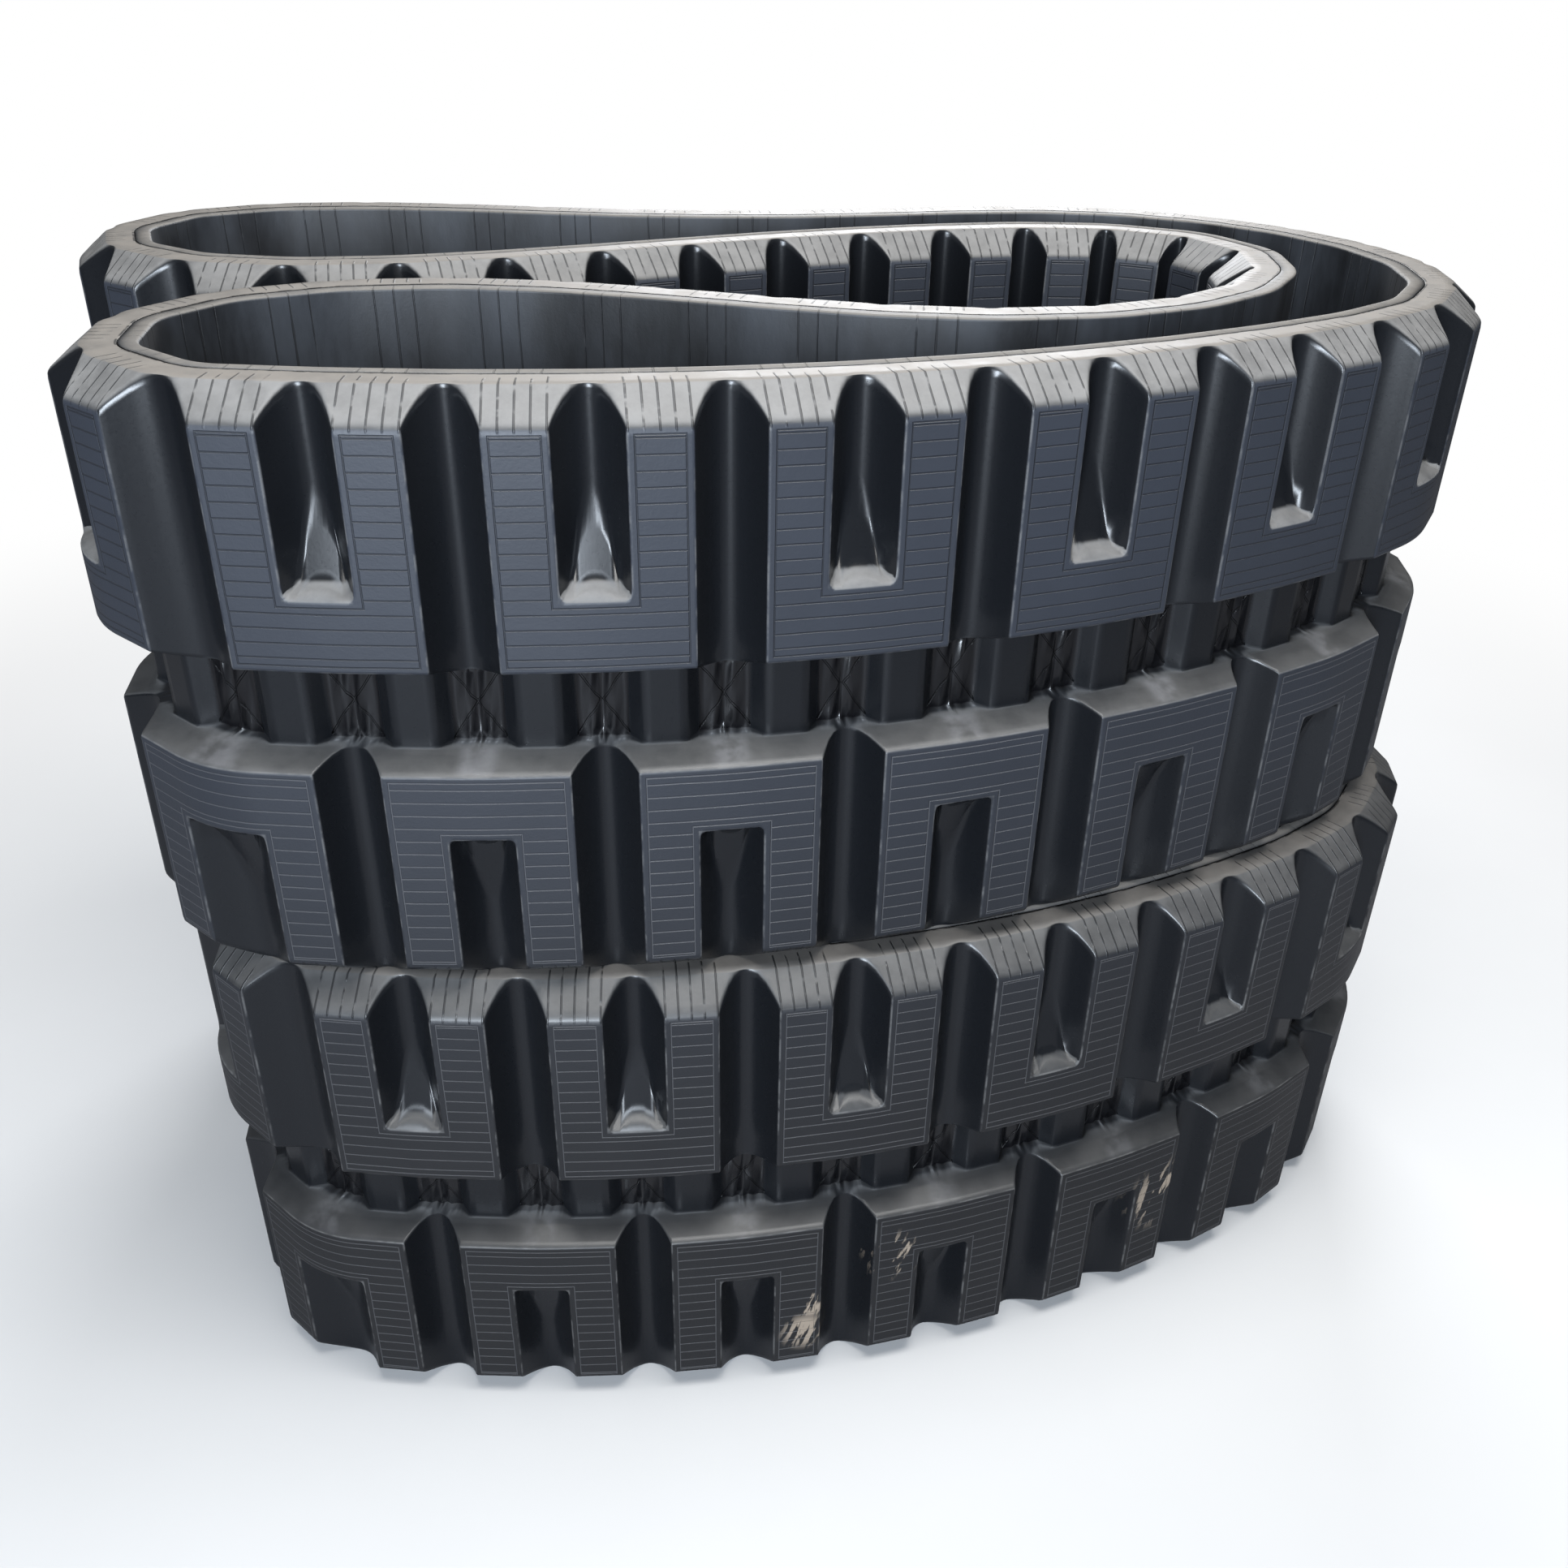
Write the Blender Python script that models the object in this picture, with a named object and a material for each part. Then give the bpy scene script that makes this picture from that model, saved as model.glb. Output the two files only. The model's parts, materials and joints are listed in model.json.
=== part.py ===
"""Two endless rubber tracks, each folded double and laid on its side, one on top of the other.

Every track is built in layers, as the real one is: tread rubber outside, a ladder of steel cores
and cords in the middle, and two strips of inner rubber on which the rollers run. The flexing band
is cut into four sections that are hinged where the fold bends most.
"""

import math

import bmesh
import bpy
import numpy as np

# One track, measured along its cord line
LINKS = 58
PITCH = 0.086
WIDTH = 0.45

# Depths through the track, counted outward from the cord line
SMOOTH_FACE = -0.020
SADDLE_FACE = -0.018
HORN_TIP = -0.040
LADDER_INNER = -0.006
LADDER_OUTER = 0.0019
WINDOW_FLOOR = 0.005
BAND_FACE = 0.018
LUG_FACE = 0.044

# Heights across the track, counted both ways from mid-width
LUG_END = 0.205
NOTCH_FOOT = 0.143
NOTCH_TOP = 0.091
LUG_ROOT = 0.039
SHOULDER_FOOT = 0.030
RAIL_OUTER = 0.185
RAIL_INNER = 0.052
HORN_INNER = 0.034
SADDLE_EDGE = 0.028

# Half lengths along the track, from the middle of a link
LUG_HALF = 0.021
PAD_HALF = 0.015
PAD_BASE_HALF = 0.025
CORE_HALF = 0.022

# Clearances
LAYER_GAP = 0.0003
TRACK_GAP = 0.0003
CUT_GAP = 0.0003

# The fold: the turn of the cord line at a few places, in degrees from one link to the next.
# Between these places the turn changes evenly. A left turn is positive.
FOLD = (
    ("front run", 0.0, 4.1),
    ("front run, right end", 8.5, 3.8),
    ("outer lobe, front shoulder", 10.5, 24.4),
    ("outer lobe, middle", 13.5, 16.2),
    ("outer lobe, rear shoulder", 16.5, 19.3),
    ("rear run, right end", 19.5, -6.9),
    ("rear run", 22.5, -4.5),
    ("rear hairpin, outer side", 25.0, 11.6),
    ("rear hairpin, tip", 27.5, 43.1),
    ("rear hairpin, inner side", 30.0, 26.9),
    ("inner rear run, left end", 32.5, 5.7),
    ("inner rear run", 35.5, -2.2),
    ("inner rear run, right end", 38.5, -6.1),
    ("inner lobe, rear shoulder", 41.0, -39.2),
    ("inner lobe, middle", 43.5, -18.9),
    ("inner lobe, front shoulder", 47.0, -14.8),
    ("inner front run", 50.5, 6.2),
    ("front hairpin, inner side", 53.0, 20.5),
    ("front hairpin, tip", 55.3, 41.5),
    ("front hairpin, outer side", 56.8, 41.4),
)
FRONT_HEADING = 1.0
CLOSING_STEPS = 8

# Hinges of the fold: the links' ends where the sections meet
RIGHT_LOBE = 13
REAR_HAIRPIN = 27
INNER_LOBE = 42
FRONT_HAIRPIN = 56

# How far each hinge can flex, in degrees, with a little to spare
FLEX = {RIGHT_LOBE: 10.6, REAR_HAIRPIN: 0.8, INNER_LOBE: 11.9, FRONT_HAIRPIN: 1.6}

# Section: first and last link end, the hinge that carries it, and the section it hangs on
SECTIONS = {
    "outer_front": (FRONT_HAIRPIN, RIGHT_LOBE + LINKS, None, None),
    "outer_rear": (RIGHT_LOBE, REAR_HAIRPIN, RIGHT_LOBE, "outer_front"),
    "inner_rear": (REAR_HAIRPIN, INNER_LOBE, REAR_HAIRPIN, "outer_rear"),
    "inner_front": (INNER_LOBE, FRONT_HAIRPIN, FRONT_HAIRPIN, "outer_front"),
}

# The lower track lies a little askew under the upper one
LOWER_PIVOT = 4
LOWER_TURN = -1.68
LOWER_SHIFT = np.array([0.0158, -0.0193])

# Colours, roughness and metallic value of the materials
TREAD_LOOK = ((0.055, 0.062, 0.072, 1.0), 0.75, 0.0)
LINER_LOOK = ((0.11, 0.14, 0.17, 1.0), 0.55, 0.0)
STEEL_LOOK = ((0.30, 0.30, 0.31, 1.0), 0.45, 0.9)


def closed_turns():
    """Turn at each link end in degrees, with the smallest change that closes the loop."""
    places = [place for _, place, _ in FOLD] + [LINKS]
    turns_there = [turn for _, _, turn in FOLD] + [FOLD[0][2]]
    turns = np.interp(np.arange(LINKS), places, turns_there)
    for _ in range(CLOSING_STEPS):
        steps = link_steps(turns)
        miss = np.array([turns.sum() - 360.0, *steps.sum(axis=0)])
        slope = np.ones((3, LINKS))
        slope[1:, 0] = 0.0
        for end in range(1, LINKS):
            rest = steps[end:].sum(axis=0) * math.radians(1)
            slope[1:, end] = -rest[1], rest[0]
        turns = turns - slope.T @ np.linalg.solve(slope @ slope.T, miss)
    return turns


def link_steps(turns):
    """Step along each link, as a row of x and y."""
    headings = np.radians(FRONT_HEADING + np.concatenate([[0.0], np.cumsum(turns[1:])]))
    return PITCH * np.stack([np.cos(headings), np.sin(headings)], axis=1)


class Loop:
    """The cord line of one folded track, lying in a level plane."""

    def __init__(self, corners, turns, middle_height):
        self.corners = corners
        self.half_turns = np.radians(turns) / 2
        self.middle_height = middle_height

    def corner(self, end):
        """Place of a link end on the cord line."""
        return self.corners[end % LINKS]

    def moved(self, pivot, turn, shift, middle_height):
        """The same loop turned about a point, shifted and set at another height."""
        cos, sin = math.cos(math.radians(turn)), math.sin(math.radians(turn))
        spin = np.array([[cos, -sin], [sin, cos]])
        corners = (self.corners - pivot) @ spin.T + pivot + shift
        return Loop(corners, np.degrees(self.half_turns) * 2, middle_height)

    def links(self, first, last):
        """The links between two link ends."""
        return [Link(self, number, first, last) for number in range(first, last)]

    def lug_outline(self):
        """Points on the lug faces that bound the track seen from above."""
        return [
            link.point(side * reach, LUG_FACE, 0)[:2]
            for link in self.links(0, LINKS)
            for side in (-1, 1)
            for reach in (LUG_HALF, link.reach(side, LUG_FACE, outward=True))
        ]


class Link:
    """One pitch of a track in its own frame: along the run, outward and up."""

    def __init__(self, loop, number, first, last):
        self.loop = loop
        self.number = number
        self.first = first
        self.last = last
        start, end = loop.corner(number), loop.corner(number + 1)
        self.middle = (start + end) / 2
        self.along = (end - start) / PITCH
        self.outward = np.array([self.along[1], -self.along[0]])

    def end(self, side):
        """Number of the link end on this side."""
        return self.number if side < 0 else self.number + 1

    def reach(self, side, out, outward):
        """Length from the link's middle to its end plane at a depth.

        Neighbours meet in the plane that halves the turn between them. At a hinge each stops a
        little short of it, and the more so the farther the layer lies from the cord line.
        """
        end = self.end(side)
        length = PITCH / 2 + out * math.tan(self.loop.half_turns[end % LINKS])
        if end not in (self.first, self.last) or self.last - self.first == LINKS:
            return length
        lean = math.tan(math.radians(FLEX[end % LINKS] / 2))
        away = out - 2 * LADDER_INNER if outward else 2 * LADDER_OUTER - out
        return length - CUT_GAP / 2 - lean * away

    def point(self, along, out, up):
        """World point from this link's frame."""
        flat = self.middle + along * self.along + out * self.outward
        return (flat[0], flat[1], self.loop.middle_height + up)

    def has_web(self, side, row):
        """The two rows of lugs are joined across every other link end, one row in turn with the other."""
        return self.end(side) % 2 == (0 if row > 0 else 1)


class Shell:
    """Faces of one closed solid, which share the corners where they meet."""

    def __init__(self, origin):
        self.mesh = bmesh.new()
        self.origin = origin
        self.corners = {}

    def corner(self, point):
        key = tuple(round(value, 7) for value in point)
        if key not in self.corners:
            local = [value - start for value, start in zip(point, self.origin)]
            self.corners[key] = self.mesh.verts.new(local)
        return self.corners[key]

    def face(self, points):
        self.mesh.faces.new([self.corner(point) for point in points])

    def strip(self, link, outward, profile):
        """Faces from end plane to end plane of a link, between neighbouring (out, up) points."""
        for (out_a, up_a), (out_b, up_b) in zip(profile, profile[1:]):
            ends = [(side, link.reach(side, out_a, outward), out_a, up_a) for side in (-1, 1)]
            ends += [(side, link.reach(side, out_b, outward), out_b, up_b) for side in (1, -1)]
            self.face([link.point(side * reach, out, up) for side, reach, out, up in ends])

    def bar(self, link, half, profile):
        """Faces of a bar across the track, between neighbouring (out, up) points."""
        for (out_a, up_a), (out_b, up_b) in zip(profile, profile[1:]):
            corners = ((-half, out_a, up_a), (half, out_a, up_a), (half, out_b, up_b), (-half, out_b, up_b))
            self.face([link.point(*corner) for corner in corners])

    def cap(self, link, side, outward, profile):
        """The cut face at one end of a section."""
        self.face([link.point(side * link.reach(side, out, outward), out, up) for out, up in profile])

    def to_object(self, name, material):
        bmesh.ops.recalc_face_normals(self.mesh, faces=self.mesh.faces)
        data = bpy.data.meshes.new(name)
        self.mesh.to_mesh(data)
        self.mesh.free()
        data.materials.append(material)
        result = bpy.data.objects.new(name, data)
        bpy.context.collection.objects.link(result)
        return result


def add_lug_row(shell, link, row):
    """One row's leg, its share of the web beside it, the grooves and the band's edge."""
    web = 1 if link.has_web(1, row) else -1
    groove = -web

    def at(side, along, out, height):
        return link.point(side * along, out, row * height)

    def end(side, out, height):
        return at(side, link.reach(side, out, outward=True), out, height)

    lug_end = {side: at(side, LUG_HALF, LUG_FACE, LUG_END) for side in (web, groove)}
    band = {side: end(side, BAND_FACE, WIDTH / 2) for side in (web, groove)}
    foot = {side: end(side, BAND_FACE, SHOULDER_FOOT) for side in (web, groove)}
    pad = {side: at(side, PAD_HALF, BAND_FACE, SHOULDER_FOOT) for side in (web, groove)}
    notch_corner = at(web, LUG_HALF, LUG_FACE, NOTCH_TOP)
    notch_floor = end(web, BAND_FACE, NOTCH_FOOT)
    web_top = end(web, LUG_FACE, NOTCH_TOP)
    web_root = end(web, LUG_FACE, LUG_ROOT)
    leg_root = at(groove, LUG_HALF, LUG_FACE, LUG_ROOT)

    shell.face([lug_end[web], lug_end[groove], band[groove], band[web]])
    shell.face([lug_end[groove], lug_end[web], notch_corner, web_top, web_root, leg_root])
    shell.face([lug_end[groove], leg_root, foot[groove], band[groove]])
    shell.face([lug_end[web], band[web], notch_floor, notch_corner])
    shell.face([notch_corner, notch_floor, web_top])
    shell.face([leg_root, web_root, foot[web], pad[web], pad[groove], foot[groove]])
    for side in (web, groove):
        base = at(side, PAD_BASE_HALF, WINDOW_FLOOR, SHOULDER_FOOT)
        shell.face([pad[side], foot[side], end(side, WINDOW_FLOOR, SHOULDER_FOOT), base])


def add_channel(shell, link):
    """The middle of the tread: a pad over the core between two thin window floors."""
    low, high = -SHOULDER_FOOT, SHOULDER_FOOT
    shell.bar(link, PAD_HALF, [(BAND_FACE, low), (BAND_FACE, high)])
    for side in (-1, 1):
        edge = link.reach(side, WINDOW_FLOOR, outward=True)
        stations = ((PAD_HALF, BAND_FACE), (PAD_BASE_HALF, WINDOW_FLOOR), (edge, WINDOW_FLOOR))
        for (along_a, out_a), (along_b, out_b) in zip(stations, stations[1:]):
            near = [link.point(side * along_a, out_a, up) for up in (low, high)]
            far = [link.point(side * along_b, out_b, up) for up in (high, low)]
            shell.face(near + far)


def tread_back():
    """The back of the tread, which steps round the edges of the steel ladder."""
    back = LADDER_OUTER + LAYER_GAP
    step = RAIL_OUTER + LAYER_GAP
    half = [(BAND_FACE, WIDTH / 2), (LADDER_INNER, WIDTH / 2), (LADDER_INNER, step), (back, step)]
    return half + [(out, -up) for out, up in reversed(half)]


def tread_cap(link, side):
    """Outline of the tread where it is cut at a hinge."""
    front = []
    for row in (-1, 1):
        web = [(BAND_FACE, NOTCH_FOOT), (LUG_FACE, NOTCH_TOP), (LUG_FACE, LUG_ROOT)]
        middle = [(BAND_FACE, SHOULDER_FOOT), (WINDOW_FLOOR, SHOULDER_FOOT)]
        half = (web if link.has_web(side, row) else []) + middle
        half = [(out, row * up) for out, up in half]
        front += half if row < 0 else reversed(half)
    return tread_back() + front


def make_tread(name, links, origin, material):
    """The outer rubber with its lugs."""
    shell = Shell(origin)
    for link in links:
        for row in (1, -1):
            add_lug_row(shell, link, row)
        add_channel(shell, link)
        shell.strip(link, True, tread_back())
    for link, side in ((links[0], -1), (links[-1], 1)):
        shell.cap(link, side, True, tread_cap(link, side))
    return shell.to_object(name, material)


def core_profile():
    """Outline of a steel core across the track, with its two guide horns."""
    half = [
        (SADDLE_FACE, SADDLE_EDGE),
        (HORN_TIP, HORN_INNER),
        (HORN_TIP, RAIL_INNER),
        (LADDER_INNER, RAIL_INNER),
    ]
    return [(out, -up) for out, up in reversed(half)] + half


def add_rail(shell, link, row):
    """One cord belt of the ladder, with the corners where the core meets it."""
    for out in (LADDER_INNER, LADDER_OUTER):
        left, right = (link.reach(side, out, outward=False) for side in (-1, 1))
        inner = ((-left, RAIL_INNER), (-CORE_HALF, RAIL_INNER), (CORE_HALF, RAIL_INNER), (right, RAIL_INNER))
        outer = ((right, RAIL_OUTER), (-left, RAIL_OUTER))
        shell.face([link.point(along, out, row * up) for along, up in inner + outer])
    shell.strip(link, False, [(LADDER_INNER, row * RAIL_OUTER), (LADDER_OUTER, row * RAIL_OUTER)])
    for side in (-1, 1):
        near = [(CORE_HALF, out) for out in (LADDER_INNER, LADDER_OUTER)]
        far = [(link.reach(side, out, outward=False), out) for out in (LADDER_OUTER, LADDER_INNER)]
        shell.face([link.point(side * along, out, row * RAIL_INNER) for along, out in near + far])


def make_ladder(name, links, origin, material):
    """The steel cores, one for each link, on the two belts of steel cord."""
    shell = Shell(origin)
    horns = core_profile()
    top = [(LADDER_OUTER, RAIL_INNER), (LADDER_OUTER, -RAIL_INNER)]
    for link in links:
        for row in (1, -1):
            add_rail(shell, link, row)
        shell.bar(link, CORE_HALF, horns)
        shell.bar(link, CORE_HALF, top)
        for side in (-CORE_HALF, CORE_HALF):
            shell.face([link.point(side, out, up) for out, up in horns + top])
    belt = ((LADDER_INNER, RAIL_INNER), (LADDER_OUTER, RAIL_INNER), (LADDER_OUTER, RAIL_OUTER), (LADDER_INNER, RAIL_OUTER))
    for link, side in ((links[0], -1), (links[-1], 1)):
        for row in (1, -1):
            shell.cap(link, side, False, [(out, row * up) for out, up in belt])
    return shell.to_object(name, material)


def make_liner(name, links, origin, material, row):
    """One strip of inner rubber, on which the rollers run beside the horns."""
    shell = Shell(origin)
    outer, inner = WIDTH / 2, RAIL_INNER + LAYER_GAP
    back = LADDER_INNER - LAYER_GAP
    profile = ((SMOOTH_FACE, inner), (SMOOTH_FACE, outer), (back, outer), (back, inner))
    profile = [(out, row * up) for out, up in profile]
    for link in links:
        shell.strip(link, False, profile + profile[:1])
    for link, side in ((links[0], -1), (links[-1], 1)):
        shell.cap(link, side, False, profile)
    return shell.to_object(name, material)


def make_material(name, look):
    """A plain surface from its colour, roughness and metallic value."""
    colour, roughness, metallic = look
    material = bpy.data.materials.new(name)
    material.use_nodes = True
    surface = material.node_tree.nodes["Principled BSDF"]
    surface.inputs["Base Color"].default_value = colour
    surface.inputs["Roughness"].default_value = roughness
    surface.inputs["Metallic"].default_value = metallic
    material.diffuse_color = colour
    return material


def make_section(track, section, loop, mount, materials):
    """The four layers of one section under an empty on its hinge."""
    first, last, hinge, _ = SECTIONS[section]
    holder = bpy.data.objects.new(f"{track}_{section}_hinge", None)
    bpy.context.collection.objects.link(holder)
    place = loop.corner(hinge) if hinge is not None else np.zeros(2)
    origin = (place[0], place[1], loop.middle_height)
    if mount is not None:
        holder.parent = mount[0]
        holder.location = [value - start for value, start in zip(origin, mount[1])]
    else:
        holder.location = origin
    links = loop.links(first, last)
    name = f"{track}_{section}"
    layers = [
        make_tread(f"{name}_tread", links, origin, materials["tread"]),
        make_ladder(f"{name}_core_ladder", links, origin, materials["steel"]),
        make_liner(f"{name}_roller_path_top", links, origin, materials["liner"], 1),
        make_liner(f"{name}_roller_path_bottom", links, origin, materials["liner"], -1),
    ]
    for layer in layers:
        layer.parent = holder
    return holder, origin


def make_track(track, loop, mount, materials):
    """All sections of one track, each hung on the one before it in the fold."""
    made = {None: mount}
    for section, (_, _, _, carrier) in SECTIONS.items():
        made[section] = make_section(track, section, loop, made[carrier], materials)
    return made["outer_front"]


def make_loops():
    """Cord lines of the lower and the upper track, with the origin under the middle of the stack."""
    turns = closed_turns()
    steps = link_steps(turns)
    corners = np.concatenate([[np.zeros(2)], np.cumsum(steps, axis=0)[:-1]])
    upper = Loop(corners, turns, WIDTH * 1.5 + TRACK_GAP)
    lower = upper.moved(upper.corner(LOWER_PIVOT), LOWER_TURN, LOWER_SHIFT, WIDTH / 2)
    outline = np.array(upper.lug_outline() + lower.lug_outline())
    middle = (outline.min(axis=0) + outline.max(axis=0)) / 2
    for loop in (lower, upper):
        loop.corners = loop.corners - middle
    return lower, upper


def main():
    for item in list(bpy.data.objects):
        bpy.data.objects.remove(item, do_unlink=True)
    materials = {
        "tread": make_material("tread_rubber", TREAD_LOOK),
        "liner": make_material("roller_path_rubber", LINER_LOOK),
        "steel": make_material("core_steel", STEEL_LOOK),
    }
    lower, upper = make_loops()
    base = make_track("lower", lower, None, materials)
    make_track("upper", upper, base, materials)


if __name__ == "__main__":
    main()
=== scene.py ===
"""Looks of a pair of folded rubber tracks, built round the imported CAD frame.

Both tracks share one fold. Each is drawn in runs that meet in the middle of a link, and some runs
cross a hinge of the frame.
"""

import json
import logging
import math
from dataclasses import dataclass
from enum import Enum
from typing import Any, Sequence

import bpy
import numpy as np
from mathutils import Matrix, Vector


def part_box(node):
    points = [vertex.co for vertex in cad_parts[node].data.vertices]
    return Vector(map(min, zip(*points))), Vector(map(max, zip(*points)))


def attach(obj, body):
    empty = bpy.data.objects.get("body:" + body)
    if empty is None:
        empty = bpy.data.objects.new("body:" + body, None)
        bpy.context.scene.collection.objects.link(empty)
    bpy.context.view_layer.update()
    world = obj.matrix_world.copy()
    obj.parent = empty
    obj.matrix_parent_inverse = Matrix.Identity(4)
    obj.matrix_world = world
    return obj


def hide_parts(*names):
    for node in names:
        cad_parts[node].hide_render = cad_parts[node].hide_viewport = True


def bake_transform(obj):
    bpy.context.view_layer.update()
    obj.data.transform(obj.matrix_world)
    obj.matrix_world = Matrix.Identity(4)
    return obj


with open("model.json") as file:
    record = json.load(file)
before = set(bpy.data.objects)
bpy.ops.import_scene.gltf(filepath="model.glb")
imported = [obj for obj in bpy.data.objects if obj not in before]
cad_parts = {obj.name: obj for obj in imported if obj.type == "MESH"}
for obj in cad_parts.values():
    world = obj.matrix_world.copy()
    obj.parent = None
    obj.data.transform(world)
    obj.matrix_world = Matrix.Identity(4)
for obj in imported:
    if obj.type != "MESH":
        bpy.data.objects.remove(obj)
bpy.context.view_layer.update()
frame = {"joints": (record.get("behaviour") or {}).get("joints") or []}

log = logging.getLogger("scene")

LINKS = 58
HALF_PITCH = 43.0
HALF_WIDTH = 225.0
SHARP_DEGREES = 38
MM = 0.001

# The turn of the cord line at a few link ends, in degrees. Between them it changes evenly.
FOLD = (
    (0.0, 4.1),
    (8.5, 3.8),
    (10.5, 24.4),
    (13.5, 16.2),
    (16.5, 19.3),
    (19.5, -6.9),
    (22.5, -4.5),
    (25.0, 11.6),
    (27.5, 43.1),
    (30.0, 26.9),
    (32.5, 5.7),
    (35.5, -2.2),
    (38.5, -6.1),
    (41.0, -39.2),
    (43.5, -18.9),
    (47.0, -14.8),
    (50.5, 6.2),
    (53.0, 20.5),
    (55.3, 41.5),
    (56.8, 41.4),
)
FRONT_HEADING = 1.0
CLOSING_STEPS = 8
RIGHT_LOBE = 13
INNER_LOBE = 42
FRONT_HAIRPIN = 56

Array = np.ndarray
Place = tuple[float, float, float]
Colour = tuple[float, float, float]
Face = tuple[int, ...]


class Track(Enum):
    """The two tracks of the stack, by the first word of their nodes."""

    LOWER = "lower"
    UPPER = "upper"


class Layer(Enum):
    """The layers of a track, by the last words of their nodes."""

    TREAD = "tread"
    CORES = "core_ladder"
    PATH_TOP = "roller_path_top"
    PATH_BOTTOM = "roller_path_bottom"


@dataclass(frozen=True)
class Run:
    """A stretch of track drawn as one piece in each layer.

    A run with a hinge covers its first section and its second, with a slab of y about the hinge.
    """

    name: str
    first: float
    last: float
    sections: tuple[str, ...]
    hinge: str = ""
    slab: tuple[float, float] = (0.0, 0.0)


RUNS = (
    Run("outer_lobe", 5.5, 20.5, ("outer_front", "outer_rear"), "main_fold", (-0.11, 0.06)),
    Run("rear_hairpin", 20.5, 35.5, ("outer_rear", "inner_rear"), "rear_hairpin_flex", (0.015, -0.05)),
    Run("inner_lobe_rear", 35.5, 42.0, ("inner_rear",)),
    Run("inner_lobe_front", 42.0, 49.5, ("inner_front",)),
    Run("front_hairpin", 49.5, 63.5, ("inner_front", "outer_front"), "front_hairpin_flex", (0.12, 0.05)),
)


def link_steps(turns: Array) -> Array:
    """Step along each link of the unmoved fold.

    Args:
        turns: turn at each link end, in degrees.

    Returns:
        One row of x and y for each link, in millimetres.
    """
    headings = np.radians(FRONT_HEADING + np.concatenate([[0.0], np.cumsum(turns[1:])]))
    return 2 * HALF_PITCH * np.stack([np.cos(headings), np.sin(headings)], axis=1)


def closed_turns() -> Array:
    """The fold's turns with the smallest change that closes it.

    Returns:
        Turn at each link end, in degrees.
    """
    places = [place for place, _ in FOLD] + [LINKS]
    turns = np.interp(np.arange(LINKS), places, [turn for _, turn in FOLD] + [FOLD[0][1]])
    for _ in range(CLOSING_STEPS):
        steps = link_steps(turns)
        miss = np.array([turns.sum() - 360.0, *steps.sum(axis=0)])
        slope = np.ones((3, LINKS))
        slope[1:, 0] = 0.0
        for end in range(1, LINKS):
            rest = steps[end:].sum(axis=0) * math.radians(1)
            slope[1:, end] = -rest[1], rest[0]
        turns = turns - slope.T @ np.linalg.solve(slope @ slope.T, miss)
    return turns


@dataclass
class Stations:
    """Places along a run, each with its frame on the cord line. Lengths are in millimetres."""

    web: Array
    place: Array
    along: Array
    outward: Array
    bend: Array
    cut: Array


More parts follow.
